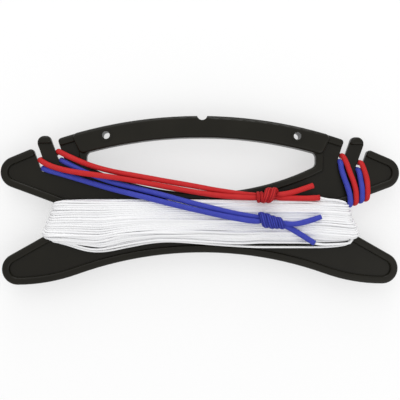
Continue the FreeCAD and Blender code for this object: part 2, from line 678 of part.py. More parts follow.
sleeve = size("sleeve_diameter")
line = size("line_diameter")
LOOPS = {
    # hooked behind the left tab, knots on the front of the hank
    "outer_red": {
        "loop": [
            (29.1, 1.3, 8.9), (20.5, 1.6, 8.2), (9.5, 2.5, 6.8), (-4.0, 4.4, 5.9), (-17.5, 6.9, 5.7),
            (-31.0, 9.4, 6.2), (-44.0, 11.8, 7.0), (-56.0, 13.4, 8.4), (-67.0, 14.8, 8.0),
            (-76.5, 16.6, 5.9), (-84.0, 19.0, 4.2), (-88.9, 22.0, 2.9), (-88.9, 22.2, -3.6),
            (-84.0, 24.6, -5.0), (-79.0, 26.9, -3.6), (-78.9, 26.8, 2.9), (-72.5, 23.6, 4.6),
            (-61.5, 18.9, 4.9), (-48.0, 15.3, 4.7), (-33.0, 12.8, 4.7), (-18.0, 10.1, 4.7),
            (-4.0, 7.7, 4.7), (9.5, 5.2, 5.0), (20.5, 3.5, 5.7), (29.1, 2.6, 6.15),
        ],
        "knot": ((35.4, 2.5, 8.5), 2.0),
        "cut_tail": [
            (41.7, 3.9, 8.2), (46.3, 3.9, 7.8), (50.8, 4.7, 7.2), (55.6, 6.4, 6.6), (61.0, 8.1, 6.0),
        ],
        "line_tail": [(41.7, 0.9, 8.3), (49.1, 0.6, 8.1), (57.0, 0.8, 7.9), (64.2, 1.2, 7.8)],
        "lead": [(64.2, 1.2, 7.8), (66.8, 0.8, 7.9), (69.8, -0.4, 8.0), (73.6, -1.9, 8.0)],
    },
    "outer_blue": {
        "loop": [
            (30.6, -11.6, 12.2), (24.0, -10.8, 11.8), (12.0, -8.7, 10.9), (-3.0, -5.4, 9.9),
            (-18.0, -1.8, 9.3), (-33.0, 2.1, 7.6), (-48.0, 5.7, 5.2), (-62.0, 9.8, 4.6),
            (-74.0, 13.5, 4.0), (-82.0, 15.7, 3.3), (-87.1, 17.3, 2.9), (-87.1, 17.7, -3.6),
            (-82.0, 19.9, -4.8), (-77.2, 22.1, -3.6), (-77.2, 21.9, 2.9), (-70.5, 18.4, 4.2),
            (-62.0, 14.4, 4.9), (-50.0, 10.0, 4.7), (-36.0, 6.4, 5.0), (-21.0, 2.7, 7.2),
            (-6.0, -1.4, 9.1), (8.0, -4.9, 9.3), (20.0, -7.7, 9.5), (30.6, -9.3, 10.2),
        ],
        "knot": ((37.1, -11.5, 11.4), -12.0),
        "cut_tail": [(43.5, -11.7, 10.8), (50.2, -11.8, 9.8), (57.8, -10.6, 9.2), (65.0, -9.0, 9.0)],
        "line_tail": [(43.1, -14.7, 10.8), (48.5, -17.0, 9.8), (54.8, -20.1, 9.1), (60.8, -23.2, 8.9)],
        "lead": [(60.8, -23.2, 8.9), (64.4, -24.2, 8.2), (69.4, -23.9, 8.0), (73.8, -22.2, 8.0)],
    },
    # hooked behind the right tab, over the wing's under edge, knots behind the plate
    "inner_red": {
        "loop": [
            (72.3, 11.0, -5.8), (76.4, 10.6, -5.3), (80.6, 9.2, -4.8), (83.8, 6.4, -4.7),
            (85.2, 3.0, -4.6), (85.4, 0.2, -4.5), (85.4, -1.6, -2.6), (85.4, -1.6, 2.6),
            (85.4, 0.2, 4.6), (85.3, 4.6, 4.7), (84.2, 9.6, 4.2), (82.1, 15.2, 3.7), (80.2, 20.6, 3.6),
            (78.2, 24.8, 2.9), (78.3, 25.1, -3.6), (83.4, 23.6, -4.9), (88.4, 21.3, -3.6),
            (88.5, 21.0, 2.9), (90.3, 16.4, 3.4), (91.6, 10.8, 4.2), (91.7, 6.0, 4.7),
            (91.6, 2.5, 4.6), (91.6, 0.7, 2.6), (91.6, 0.7, -2.6), (91.6, 2.5, -4.5),
            (91.4, 6.0, -4.7), (89.8, 9.8, -4.8), (86.6, 12.8, -4.8), (82.4, 14.4, -4.9),
            (77.4, 14.9, -5.2), (72.4, 14.4, -5.6),
        ],
        "knot": ((66.0, 12.6, -6.0), 4.0),
        "cut_tail": [(59.6, 12.4, -5.6), (54.0, 10.6, -5.2), (48.0, 8.6, -4.8), (42.2, 6.6, -4.7)],
        "line_tail": [(59.8, 9.3, -6.4), (54.5, 7.0, -6.4), (48.8, 4.6, -6.6), (43.4, 2.2, -7.0)],
        "lead": [(43.4, 2.2, -7.0), (40.5, 1.2, -7.4), (35.6, -0.9, -8.0), (31.5, -3.6, -8.0)],
    },
    "inner_blue": {
        "loop": [
            (74.3, 2.7, -5.8), (76.6, 3.2, -5.3), (79.2, 3.1, -5.0), (81.3, 1.6, -4.7),
            (82.2, -1.0, -4.5), (82.2, -2.8, -2.6), (82.2, -2.8, 2.6), (82.2, -1.0, 4.6),
            (81.7, 3.6, 4.6), (80.2, 8.6, 4.1), (78.6, 13.2, 3.4), (77.3, 17.6, 3.0), (77.0, 21.6, 2.9),
            (77.0, 22.0, -3.6), (82.0, 19.9, -4.8), (87.0, 17.3, -3.6), (87.1, 17.1, 2.9),
            (87.9, 12.2, 3.4), (88.5, 7.4, 4.4), (88.6, 4.2, 4.8), (88.6, 1.4, 4.6), (88.6, -0.4, 2.6),
            (88.6, -0.4, -2.6), (88.6, 1.4, -4.5), (88.5, 4.4, -5.2), (87.2, 7.0, -7.6),
            (84.0, 8.2, -8.3), (80.4, 7.4, -8.0), (77.2, 6.2, -7.2), (74.3, 5.5, -6.6),
        ],
        "knot": ((68.0, 4.3, -6.2), 0.0),
        "cut_tail": [(61.7, 5.2, -7.6), (56.0, 3.6, -8.6), (50.0, 1.2, -9.2), (44.4, -1.4, -9.3)],
        "line_tail": [(61.7, 2.2, -6.8), (56.0, 0.0, -8.6), (50.0, -3.2, -9.2), (44.6, -6.4, -9.3)],
        "lead": [(44.6, -6.4, -9.3), (41.2, -8.4, -9.0), (36.6, -10.4, -8.3), (32.2, -11.6, -8.0)],
    },
}
kept = [frame, hank]
for name, routes in LOOPS.items():
    kept.append(cord(f"{name}_loop", routes["loop"], sleeve))
    kept.append(knot(f"{name}_knot", *routes["knot"]))
    kept.append(cord(f"{name}_cut_tail", routes["cut_tail"], sleeve))
    kept.append(cord(f"{name}_line_tail", routes["line_tail"], sleeve))
    kept.append(cord(f"{name}_line_lead", routes["lead"], line))
doc.recompute()

# ---------------------------------------------------------------------------------------------
# Checks and export
# ---------------------------------------------------------------------------------------------
for item in doc.Objects:
    if "Invalid" in item.State or "Error" in item.State:
        raise RuntimeError(f"{item.Label} failed: {item.State}")
os.makedirs("parts", exist_ok=True)
for item in kept:
    shape = item.Shape
    if shape.isNull() or not shape.isValid() or len(shape.Solids) != 1:
        raise RuntimeError(f"{item.Label} isn't one valid solid")
    shape.exportStep(f"parts/{item.Label}.step")
    print(f"{item.Label}: {shape.Volume:.1f} mm3")
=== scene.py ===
import json
import math

import bpy
import numpy as np
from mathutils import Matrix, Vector

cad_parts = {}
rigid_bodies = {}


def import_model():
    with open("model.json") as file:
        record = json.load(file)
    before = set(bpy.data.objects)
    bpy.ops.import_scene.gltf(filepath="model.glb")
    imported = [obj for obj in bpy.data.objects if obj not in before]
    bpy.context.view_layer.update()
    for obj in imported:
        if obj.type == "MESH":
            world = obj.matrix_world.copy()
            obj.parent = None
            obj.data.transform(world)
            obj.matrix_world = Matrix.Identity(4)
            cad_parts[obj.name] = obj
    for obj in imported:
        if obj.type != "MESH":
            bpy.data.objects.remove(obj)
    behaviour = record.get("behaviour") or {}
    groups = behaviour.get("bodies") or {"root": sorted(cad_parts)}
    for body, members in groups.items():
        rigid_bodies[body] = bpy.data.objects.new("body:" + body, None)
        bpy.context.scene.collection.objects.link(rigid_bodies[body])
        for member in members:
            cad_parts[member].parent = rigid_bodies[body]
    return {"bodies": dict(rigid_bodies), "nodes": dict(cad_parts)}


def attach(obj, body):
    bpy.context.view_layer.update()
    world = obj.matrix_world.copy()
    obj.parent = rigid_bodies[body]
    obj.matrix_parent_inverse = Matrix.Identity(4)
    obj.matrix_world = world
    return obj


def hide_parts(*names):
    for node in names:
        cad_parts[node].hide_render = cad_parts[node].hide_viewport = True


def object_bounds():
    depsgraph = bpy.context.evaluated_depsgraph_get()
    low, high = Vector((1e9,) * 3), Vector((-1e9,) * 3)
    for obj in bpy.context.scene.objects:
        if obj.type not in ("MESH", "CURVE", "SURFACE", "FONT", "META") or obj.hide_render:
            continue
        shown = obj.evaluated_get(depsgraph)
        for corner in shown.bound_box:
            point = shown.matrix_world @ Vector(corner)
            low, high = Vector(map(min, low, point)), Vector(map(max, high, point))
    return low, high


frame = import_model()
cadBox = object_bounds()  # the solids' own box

winderBody = next(iter(frame["bodies"]))  # the whole winder moves as one


cameraView = {"place": (-0.0164, 0.0001, 0.3952), "turn": (0.0, -0.03894, 0.00102), "lens": 64.16,
              "nearest": 0.01}


def setCamera():
    lens = bpy.data.cameras.new("winderCamera")
    lens.lens = cameraView["lens"]
    lens.clip_start = cameraView["nearest"]
    camera = bpy.data.objects.new("winderCamera", lens)
    camera.location = cameraView["place"]
    camera.rotation_euler = cameraView["turn"]
    bpy.context.scene.collection.objects.link(camera)
    bpy.context.scene.camera = camera


setCamera()
print("camera set")


def splinePoints(name, points, steps):
    # the smooth line through a route, read back from a curve of its own
    curve = bpy.data.curves.new(name, "CURVE")
    curve.dimensions = "3D"
    spline = curve.splines.new("NURBS")
    spline.points.add(len(points) - 1)
    spline.points.foreach_set("co", np.c_[np.array(points), np.ones(len(points))].ravel())
    spline.order_u = 3
    spline.use_endpoint_u = True
    spline.resolution_u = steps
    thing = bpy.data.objects.new(name, curve)
    mesh = bpy.data.meshes.new_from_object(thing)
    line = np.empty(len(mesh.vertices) * 3)
    mesh.vertices.foreach_get("co", line)
    bpy.data.meshes.remove(mesh)
    bpy.data.objects.remove(thing)
    bpy.data.curves.remove(curve)
    return line.reshape(-1, 3)


def unit(vectors):
    return vectors / np.maximum(np.linalg.norm(vectors, axis=-1, keepdims=True), 1e-12)


def settled(values, passes):
    # evens out a row of numbers, its ends held
    values = np.array(values, dtype=float)
    for _ in range(passes):
        values[1:-1] = (values[:-2] + 2 * values[1:-1] + values[2:]) / 4
    return values


def profile(points, x):
    # the height at x along a run of (x, height)
    spots = np.array(points)
    return np.interp(x, spots[:, 0], spots[:, 1])


def ringFrames(line):
    # two directions across the line at each point, carried along without twist
    along = unit(np.gradient(line, axis=0))
    side = np.empty_like(along)
    first = np.cross(along[0], (0.0, 0.0, 1.0))
    if np.linalg.norm(first) < 0.1:  # starts almost straight up
        first = np.cross(along[0], (0.0, 1.0, 0.0))
    side[0] = unit(first)
    for i in range(1, len(along)):
        kept = side[i - 1] - along[i] * np.dot(side[i - 1], along[i])
        side[i] = kept / math.sqrt(np.dot(kept, kept))
    return along, side, np.cross(along, side)


def sweepTube(name, line, radii, sides, tips=(), press=None):
    # a closed tube round the line; tips adds (set back, share of radius) rings at both ends,
    # press squeezes its rings: (outward direction, share across it, share along it) at each point
    along, side, up = ringFrames(line)
    length = np.r_[0.0, np.cumsum(np.linalg.norm(np.diff(line, axis=0), axis=1))]
    centres, across = line, radii
    out, wide, thin = press or (side, np.ones(len(line)), np.ones(len(line)))
    for back, share in tips:
        out, side, up = [np.vstack([rows[:1], rows, rows[-1:]]) for rows in (out, side, up)]
        wide, thin = [np.r_[row[0], row, row[-1]] for row in (wide, thin)]
        centres = np.vstack([line[:1] + along[:1] * back, centres, line[-1:] - along[-1:] * back])
        across = np.r_[radii[0] * share, across, radii[-1] * share]
        step = 0.3 * radii[[0, -1]]  # how much of the braid a tip ring takes up
        length = np.r_[length[0] - step[0], length, length[-1] + step[1]]
    turn = np.arange(sides) * 2 * math.pi / sides
    ring = np.cos(turn)[None, :, None] * side[:, None, :] + np.sin(turn)[None, :, None] * up[:, None, :]
    ring *= across[:, None, None]
    depth = (ring * out[:, None, :]).sum(-1, keepdims=True) * out[:, None, :]
    points = centres[:, None, :] + (ring - depth) * wide[:, None, None] + depth * thin[:, None, None]
    return skinRings(name, points, length)


def skinRings(name, points, length):
    # joins rows of rings, closes both ends and maps them by (share of the way round, metres along)
    rows, sides = points.shape[:2]
    low = np.arange(rows - 1)[:, None] * sides
    spot = np.arange(sides)[None, :]
    after = (spot + 1) % sides
    quads = np.stack([low + spot, low + after, low + sides + after, low + sides + spot], axis=-1)
    faces = [tuple(quad) for quad in quads.reshape(-1, 4).tolist()]
    faces += [tuple(range(sides - 1, -1, -1)), tuple(range((rows - 1) * sides, rows * sides))]
    mesh = bpy.data.meshes.new(name)
    mesh.from_pydata(points.reshape(-1, 3).tolist(), [], faces)
    lower = np.broadcast_to(length[:-1, None], (rows - 1, sides))
    upper = np.broadcast_to(length[1:, None], (rows - 1, sides))
    left = np.broadcast_to(spot / sides, (rows - 1, sides))
    right = left + 1 / sides
    corners = [(left, lower), (right, lower), (right, upper), (left, upper)]
    wrap = np.stack([np.stack(corner, -1) for corner in corners], axis=2)
    lids = np.full((2 * sides, 2), 0.5)
    lids[:sides, 1] = length[0]
    lids[sides:, 1] = length[-1]
    layer = mesh.uv_layers.new(name="wrap")
    layer.data.foreach_set("uv", np.vstack([wrap.reshape(-1, 2), lids]).ravel())
    mesh.polygons.foreach_set("use_smooth", np.ones(len(mesh.polygons), dtype=bool))
    mesh.update()
    thing = bpy.data.objects.new(name, mesh)
    bpy.context.scene.collection.objects.link(thing)
    return thing


sleeveMake = {
    "width": 0.003,
    "knotWidth": 0.0025,
    "sides": 20,
    "steps": 8,
    "knotReach": 0.006,       # how far from the knot's middle the sleeve is pulled thin
    "knotFade": 30,           # passes that fade it out
    "uneven": 0.05,           # share of its radius by which the braid varies
    "unevenFade": 12,
    "tips": [(-0.00004, 0.93), (-0.00002, 0.78), (0.0012, 0.6)],  # (set back, share of radius)
}

# knots: ahead runs from the loop to the tails, face is the side of the plate the knot lies on, and
# sunk is how much of its height is left on the side of the plate
sleeveRoutes = {
    # hooked behind the left tab, knots on the front of the wound line
    "outer_red": {
        "slot": "red_sleeve",
        "knot": {"centre": (0.0354, 0.0021, 0.0087), "ahead": (1, 0.03, 0), "face": 1, "shape": "bulged",
                 "size": 1.06, "sunk": 0.8},
        "loop": [
            (0.0291, 0.0013, 0.0089), (0.0205, 0.0016, 0.0082), (0.0095, 0.0025, 0.0068),
            (-0.004, 0.0044, 0.0059), (-0.0175, 0.0069, 0.0057), (-0.031, 0.0094, 0.0062),
            (-0.044, 0.0118, 0.007), (-0.056, 0.0134, 0.0084), (-0.067, 0.0148, 0.008),
            (-0.0765, 0.0166, 0.0059), (-0.084, 0.019, 0.0042), (-0.0889, 0.022, 0.0029),
            (-0.0889, 0.0222, -0.0036), (-0.084, 0.0246, -0.005), (-0.079, 0.0269, -0.0036),
            (-0.0789, 0.0268, 0.0029), (-0.0725, 0.0236, 0.0046), (-0.0615, 0.0189, 0.0049),
            (-0.048, 0.0153, 0.0047), (-0.033, 0.0128, 0.0047), (-0.018, 0.0101, 0.0047),
            (-0.004, 0.0077, 0.0047), (0.0095, 0.0052, 0.005), (0.0205, 0.0035, 0.0057),
            (0.0291, 0.0026, 0.00615)],
        "cutTail": [
            (0.0417, 0.0031, 0.0088), (0.0463, 0.0037, 0.008), (0.0508, 0.0047, 0.0072),
            (0.0556, 0.0064, 0.0066), (0.061, 0.0081, 0.006)],
        "lineTail": [
            (0.0417, 0.0012, 0.0076), (0.0491, 0.0012, 0.0078), (0.057, 0.001, 0.0079),
            (0.0642, 0.0014, 0.0078)],
    },
    "outer_blue": {
        "slot": "blue_sleeve",
        "knot": {"centre": (0.0372, -0.0114, 0.0113), "ahead": (1, -0.232, 0), "face": 1, "shape": "leaning",
                 "size": 1.03, "sunk": 0.75},
        "loop": [
            (0.0306, -0.0116, 0.0122), (0.024, -0.0108, 0.0118), (0.012, -0.0087, 0.0109),
            (-0.003, -0.0054, 0.0099), (-0.018, -0.0018, 0.0093), (-0.033, 0.0021, 0.0076),
            (-0.048, 0.0057, 0.0052), (-0.062, 0.0098, 0.0046), (-0.074, 0.0135, 0.004),
            (-0.082, 0.0157, 0.0033), (-0.0871, 0.0173, 0.0029), (-0.0871, 0.0177, -0.0036),
            (-0.082, 0.0199, -0.0048), (-0.0772, 0.0221, -0.0036), (-0.0772, 0.0219, 0.0029),
            (-0.0705, 0.0184, 0.0042), (-0.062, 0.0144, 0.0049), (-0.05, 0.01, 0.0047),
            (-0.036, 0.0064, 0.005), (-0.021, 0.0027, 0.0072), (-0.006, -0.0014, 0.0091),
            (0.008, -0.0049, 0.0093), (0.02, -0.0077, 0.0095), (0.0306, -0.0093, 0.0102)],
        "cutTail": [
            (0.0437, -0.0124, 0.0114), (0.0502, -0.0131, 0.0104), (0.0578, -0.0114, 0.0094),
            (0.0648, -0.009, 0.009)],
        "lineTail": [
            (0.0434, -0.0133, 0.0102), (0.048, -0.0152, 0.0093), (0.0538, -0.0187, 0.009),
            (0.0612, -0.0234, 0.0089)],
    },
    # hooked behind the right tab, over the wing's under edge, knots behind the plate
    "inner_red": {
        "slot": "red_sleeve",
        "knot": {"centre": (0.066, 0.0126, -0.006), "ahead": (-1, -0.09, 0), "face": -1, "shape": "bulged",
                 "size": 0.9, "sunk": 0.7},
        "loop": [
            (0.0723, 0.011, -0.0058), (0.0764, 0.0106, -0.0053), (0.0806, 0.0092, -0.0048),
            (0.0838, 0.0064, -0.0047), (0.0852, 0.003, -0.0046), (0.0854, 0.0002, -0.0045),
            (0.0854, -0.0016, -0.0026), (0.0854, -0.0016, 0.0026), (0.0854, 0.0002, 0.0046),
            (0.0853, 0.0046, 0.0047), (0.0842, 0.0096, 0.0042), (0.0821, 0.0152, 0.0037),
            (0.0802, 0.0206, 0.0036), (0.0782, 0.0248, 0.0029), (0.0783, 0.0251, -0.0036),
            (0.0834, 0.0236, -0.0049), (0.0884, 0.0213, -0.0036), (0.0885, 0.021, 0.0029),
            (0.0903, 0.0164, 0.0034), (0.0916, 0.0108, 0.0042), (0.0917, 0.006, 0.0047),
            (0.0916, 0.0025, 0.0046), (0.0916, 0.0007, 0.0026), (0.0916, 0.0007, -0.0026),
            (0.0916, 0.0025, -0.0045), (0.0914, 0.006, -0.0047), (0.0898, 0.0098, -0.0048),
            (0.0866, 0.0128, -0.0048), (0.0824, 0.0144, -0.0049), (0.0774, 0.0149, -0.0052),
            (0.0724, 0.0144, -0.0056)],
        "cutTail": [
            (0.0596, 0.0124, -0.0056), (0.054, 0.0106, -0.0052), (0.048, 0.0086, -0.0048),
            (0.0422, 0.0066, -0.0047)],
        "lineTail": [
            (0.0598, 0.0093, -0.0064), (0.0545, 0.007, -0.0064), (0.0488, 0.0046, -0.0066),
            (0.0434, 0.0022, -0.007)],
    },
    "inner_blue": {
        "slot": "blue_sleeve",
        "knot": {"centre": (0.068, 0.0043, -0.0064), "ahead": (-1, -0.02, -0.04), "face": -1,
                 "shape": "leaning", "size": 0.9, "sunk": 0.7},
        "loop": [
            (0.0743, 0.0027, -0.0058), (0.0766, 0.0032, -0.0053), (0.0792, 0.0031, -0.005),
            (0.0813, 0.0016, -0.0047), (0.0822, -0.001, -0.0045), (0.0822, -0.0028, -0.0026),
            (0.0822, -0.0028, 0.0026), (0.0822, -0.001, 0.0046), (0.0817, 0.0036, 0.0046),
            (0.0802, 0.0086, 0.0041), (0.0786, 0.0132, 0.0034), (0.0773, 0.0176, 0.003),
            (0.077, 0.0216, 0.0029), (0.077, 0.022, -0.0036), (0.082, 0.0199, -0.0048),
            (0.087, 0.0173, -0.0036), (0.0871, 0.0171, 0.0029), (0.0879, 0.0122, 0.0034),
            (0.0885, 0.0074, 0.0044), (0.0886, 0.0042, 0.0048), (0.0886, 0.0014, 0.0046),
            (0.0886, -0.0004, 0.0026), (0.0886, -0.0004, -0.0026), (0.0886, 0.0014, -0.0045),
            (0.0885, 0.0044, -0.0052), (0.0872, 0.007, -0.0076), (0.084, 0.0082, -0.0083),
            (0.0804, 0.0074, -0.008), (0.0772, 0.0062, -0.0072), (0.0743, 0.0055, -0.0066)],
        "cutTail": [
            (0.0617, 0.0052, -0.0076), (0.056, 0.0036, -0.0086), (0.05, 0.0012, -0.0092),
            (0.0444, -0.0014, -0.0093)],
        "lineTail": [
            (0.0617, 0.0022, -0.0068), (0.056, 0.0, -0.0086), (0.05, -0.0032, -0.0092),
            (0.0446, -0.0064, -0.0093)],
    },
}


# the way of the doubled sleeve through a knot: (along, angle, reach, width of one strand) in mm and
# degrees, from the loop to the tails, the angle counted from the outer face towards the top
knotShapes = {
    "bulged": {"thick": 0.0021, "rows": [
        (-4.6, 180, 0.4, 2.4), (-1.5, 180, 0.7, 2.4), (2.6, 178, 1.1, 2.4), (4.9, 150, 2.0, 2.6),
        (4.4, 118, 3.0, 2.8), (2.0, 90, 4.0, 3.0), (1.3, 45, 3.2, 3.1), (0.5, 0, 2.7, 3.1),
        (-0.3, -45, 2.5, 2.8), (-0.9, -90, 2.3, 2.4), (-2.2, -135, 2.0, 2.1), (-3.3, -180, 1.8, 2.0),
        (-3.9, -225, 1.6, 2.0), (-4.0, -270, 1.5, 2.0), (-4.0, -315, 1.9, 2.0), (-4.0, -360, 2.3, 2.0),
        (-3.9, -405, 2.3, 2.0), (-3.6, -450, 2.3, 2.0), (-2.6, -500, 1.8, 2.1), (-0.6, -540, 1.1, 2.3),
        (2.0, -540, 0.8, 2.4), (4.8, -540, 0.5, 2.6)]},
    "leaning": {"thick": 0.0019, "rows": [
        (-5.2, 180, 0.4, 2.6), (-2.4, 180, 0.7, 2.4), (0.8, 180, 0.9, 2.4), (3.6, 200, 1.2, 2.5),
        (5.2, 235, 1.6, 2.8), (5.2, 270, 2.0, 3.0), (4.1, 315, 2.4, 3.2), (3.1, 360, 2.5, 3.2),
        (2.4, 405, 2.3, 3.2), (1.9, 450, 2.2, 3.2), (0.6, 500, 2.0, 3.0), (-0.4, 540, 1.8, 3.0),
        (0.0, 590, 2.4, 3.2), (-0.3, 630, 3.0, 3.2), (-1.8, 675, 3.0, 3.2), (-3.0, 720, 2.8, 3.2),
        (-3.9, 765, 2.8, 3.2), (-4.4, 810, 2.8, 3.2), (-5.0, 855, 2.2, 2.8), (-4.6, 890, 1.5, 2.6),
        (-2.4, 900, 1.0, 2.4), (1.2, 900, 0.8, 2.4), (4.8, 900, 0.5, 2.6)]},
}

knotMake = {
    "scale": 0.001,           # the rows above are in mm
    "wrapStep": 25,           # degrees from one point of a wrap to the next
    "reachOver": 1.14,        # makes up for what the rounding takes off
    "rounding": 2,
    "beside": 0.47,           # half the way between the two strands, in strand widths
    "apartFrom": 1.7,         # reach in mm from which they lie fully beside each other
    "apartLeast": 0.55,
    "pressFrom": 0.9,         # reach in mm from which a strand is pressed flat
    "pressTo": 7.6,           # how far along the knot, in mm
    "pressFade": 12,
}


def knotAxes(knot):
    # along the knot, across it and out from the plate
    ahead = unit(np.array(knot["ahead"]))
    lateral = unit(np.cross((0.0, 0.0, knot["face"]), ahead))
    return np.stack([ahead, lateral, np.cross(ahead, lateral)])


def knotRows(shape):
    # the rows of a knot's shape, divided evenly round its wraps
    rows = np.array(knotShapes[shape]["rows"], dtype=float)
    fine = []
    for before, after in zip(rows, rows[1:]):
        parts = max(1, round(abs(after[1] - before[1]) / knotMake["wrapStep"]))
        fine.append(before + np.linspace(0, 1, parts, endpoint=False)[:, None] * (after - before))
    return np.vstack(fine + [rows[-1:]])


def knotStrands(knot):
    # the two strands of a knot, beside each other on the wraps, and how wide each of them is
    rows = knotRows(knot["shape"])
    along, reach, wide = [rows[:, i] * knotMake["scale"] * size
                          for i, size in ((0, 1), (2, knot["size"]), (3, knot["size"]))]
    angle = np.radians(rows[:, 1])
    outward = np.stack([np.zeros(len(rows)), np.sin(angle), np.cos(angle)], axis=1)
    back = np.where(np.cos(angle) < 0, knot["sunk"], 1.0)
    reach = reach * knotMake["reachOver"]
    middle = np.c_[along * knot["size"], outward[:, 1] * reach, outward[:, 2] * reach * back]
    beside = unit(np.cross(np.gradient(middle, axis=0), outward))
    apart = np.clip(rows[:, 2] / knotMake["apartFrom"], knotMake["apartLeast"], 1.0)
    gap = (wide * knotMake["beside"] * apart)[:, None]
    strands = []
    for hand in (-1, 1):
        strand = (middle + hand * gap * beside) @ knotAxes(knot) + np.array(knot["centre"])
        # a fold is round, however tight
        strand = np.stack([settled(column, knotMake["rounding"]) for column in strand.T], axis=1)
        strands.append([tuple(point) for point in strand])
    return strands[0], strands[1], list(wide)


def knotPress(knot, line, wide):
    # how the sleeve is squeezed in its knot, fading out where it runs in and out
    ahead = knotAxes(knot)[0]
    away = line - np.array(knot["centre"])
    along = away @ ahead
    out = away - along[:, None] * ahead
    reach = np.linalg.norm(out, axis=1)
    tangent = unit(np.gradient(line, axis=0))
    out = unit(out - (out * tangent).sum(1, keepdims=True) * tangent)
    amount = (np.clip(reach / knotMake["scale"] - knotMake["pressFrom"], 0, 1)
              * np.clip(knotMake["pressTo"] - np.abs(along) / knotMake["scale"], 0, 1))
    amount = settled(amount, knotMake["pressFade"])
    thick = knotShapes[knot["shape"]]["thick"] * knot["size"]
    across, inwards = [1 + amount * (size / sleeveMake["knotWidth"] - 1) for size in (wide, thick)]
    return out, across, inwards


def sleeveLine(route):
    # line tail, knot, loop, knot again, cut tail; and the width of the strand along it
    first, second, wide = knotStrands(route["knot"])
    parts = [(route["lineTail"][::-1], None), (first[::-1], wide[::-1]), (route["loop"], None),
             (second, wide), (route["cutTail"], None)]
    points = [point for places, _ in parts for point in places]
    widths = [width for places, known in parts for width in known or [sleeveMake["width"]] * len(places)]
    line = splinePoints("route", points, sleeveMake["steps"])
    # the widths run through a curve of the same order, so they keep step with the line
    spread = splinePoints("widths", [(width, i, 0) for i, width in enumerate(widths)], sleeveMake["steps"])
    return line, spread[:, 0]


def makeSleeve(name, route):
    line, spread = sleeveLine(route)
    knot = route["knot"]
    near = np.abs((line - np.array(knot["centre"])) @ knotAxes(knot)[0])
    wide, tight = sleeveMake["width"] / 2, sleeveMake["knotWidth"] / 2
    tied = settled(np.where(near < sleeveMake["knotReach"], 1.0, 0.0), sleeveMake["knotFade"])
    radii = wide + (tight - wide) * tied
    rng = np.random.default_rng(sum(map(ord, name)))
    radii = radii * (1 + settled(rng.normal(0, sleeveMake["uneven"], len(line)), sleeveMake["unevenFade"]))
    piece = sweepTube(name + "_sleeve", line, radii, sleeveMake["sides"], sleeveMake["tips"],
                      knotPress(knot, line, spread))
    # how far each ring is tied, for the creases of its material, which are bumped in and darkened with
    # painted shade
    tips = np.zeros(len(sleeveMake["tips"]))
    creased = piece.data.attributes.new("creased", "FLOAT", "POINT")
    creased.data.foreach_set("value", np.repeat(np.r_[tips, tied, tips], sleeveMake["sides"]))
    nodes = [f"{name}_{part}" for part in ("loop", "knot", "cut_tail", "line_tail")]
    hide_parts(*nodes)
    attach(piece, winderBody)
    return piece


sleeves = {name: makeSleeve(name, route) for name, route in sleeveRoutes.items()}


# where each line leaves its outer sleeve and joins the hank, and how it comes out at the inner one
lineEnds = {
    "red": {"start": [(0.0642, 0.0014, 0.0078), (0.0656, 0.0012, 0.0077), (0.0672, 0.0008, 0.0076),
                      (0.0694, 0.0004, 0.0075), (0.0722, 0.0002, 0.0074), (0.0752, -0.0002, 0.0071)],
            "finish": [(0.0296, -0.0046, -0.0042), (0.0268, -0.0032, -0.0044), (0.0288, -0.0012, -0.0048),
                       (0.0335, 0.0002, -0.0056), (0.039, 0.0012, -0.0067), (0.0434, 0.0022, -0.007)],
            "nodes": ["line_hank", "outer_red_line_lead", "inner_red_line_lead"]},
    "blue": {"start": [(0.0612, -0.0234, 0.0089), (0.0624, -0.0239, 0.0087)],
             "finish": [(0.0296, -0.0086, -0.0048), (0.0262, -0.0096, -0.0064), (0.0272, -0.0112, -0.0078),
                        (0.0322, -0.0116, -0.008), (0.0366, -0.0104, -0.0083), (0.0412, -0.0084, -0.009),
                        (0.0446, -0.0064, -0.0093)],
             "nodes": ["line_hank", "outer_blue_line_lead", "inner_blue_line_lead"]},
}

hankMake = {
    "turns": 42,              # full turns of each line, before the innermost one, which stops short
    "perLayer": 11,           # turns of each line beside each other on a face
    "width": 0.0011,
    "plump": 1.12,            # the braid fills out a little past its winding pitch
    "plate": 0.003,           # half the plate's thickness at the bead
    "edgeRound": 0.0015,
    "faceReach": 0.0735,      # the last straight station before the ends
    "faceStations": 25,
    "fan": (0.0, 22.5, 45.0, 67.5, 90.0),  # stations round one corner of the plate's edge
    "notchHigh": (0.0770, -0.00304),
    "notchLow": (0.08206, -0.01723),
    "wingSlope": 20.3,
    "legSlope": 29.5,
    "wingRoom": 0.53,         # from the wing and the leg to a line's middle, in line widths
    "legRoom": 0.57,
    "clearOf": 0.6,           # how far outside the plate a line is clear of the notch, in line widths
    "backTop": -0.0002,
    "endLow": -0.024,
    "rightFall": 0.0012,      # how much lower the lines lie at the right end than at the left
    "looseGap": 1.0,          # from the loose turns up to the others, in line widths
    "lastStations": 16,       # how many stations the innermost turn still passes
    "leadStations": 3,        # how many the blue line leaves out of its first turn
    "leadLift": 0.001,
    "sides": 8,
    "steps": 3,
}

# how the turns start, before they settle
windStart = {
    "seed": 11,
    "ends": (-0.0187, -0.003),  # lowest and highest line in the notches
    "rise": 0.95,             # from one layer to the next, in line widths
    "endRise": 1.45,          # how much more the layers stand off in the notches
    "wander": (0.0006, 0.0003),  # up and down, in the two outer layers and in the inner ones
    "wanderFade": 160,
    "bumps": 0.00005,
}

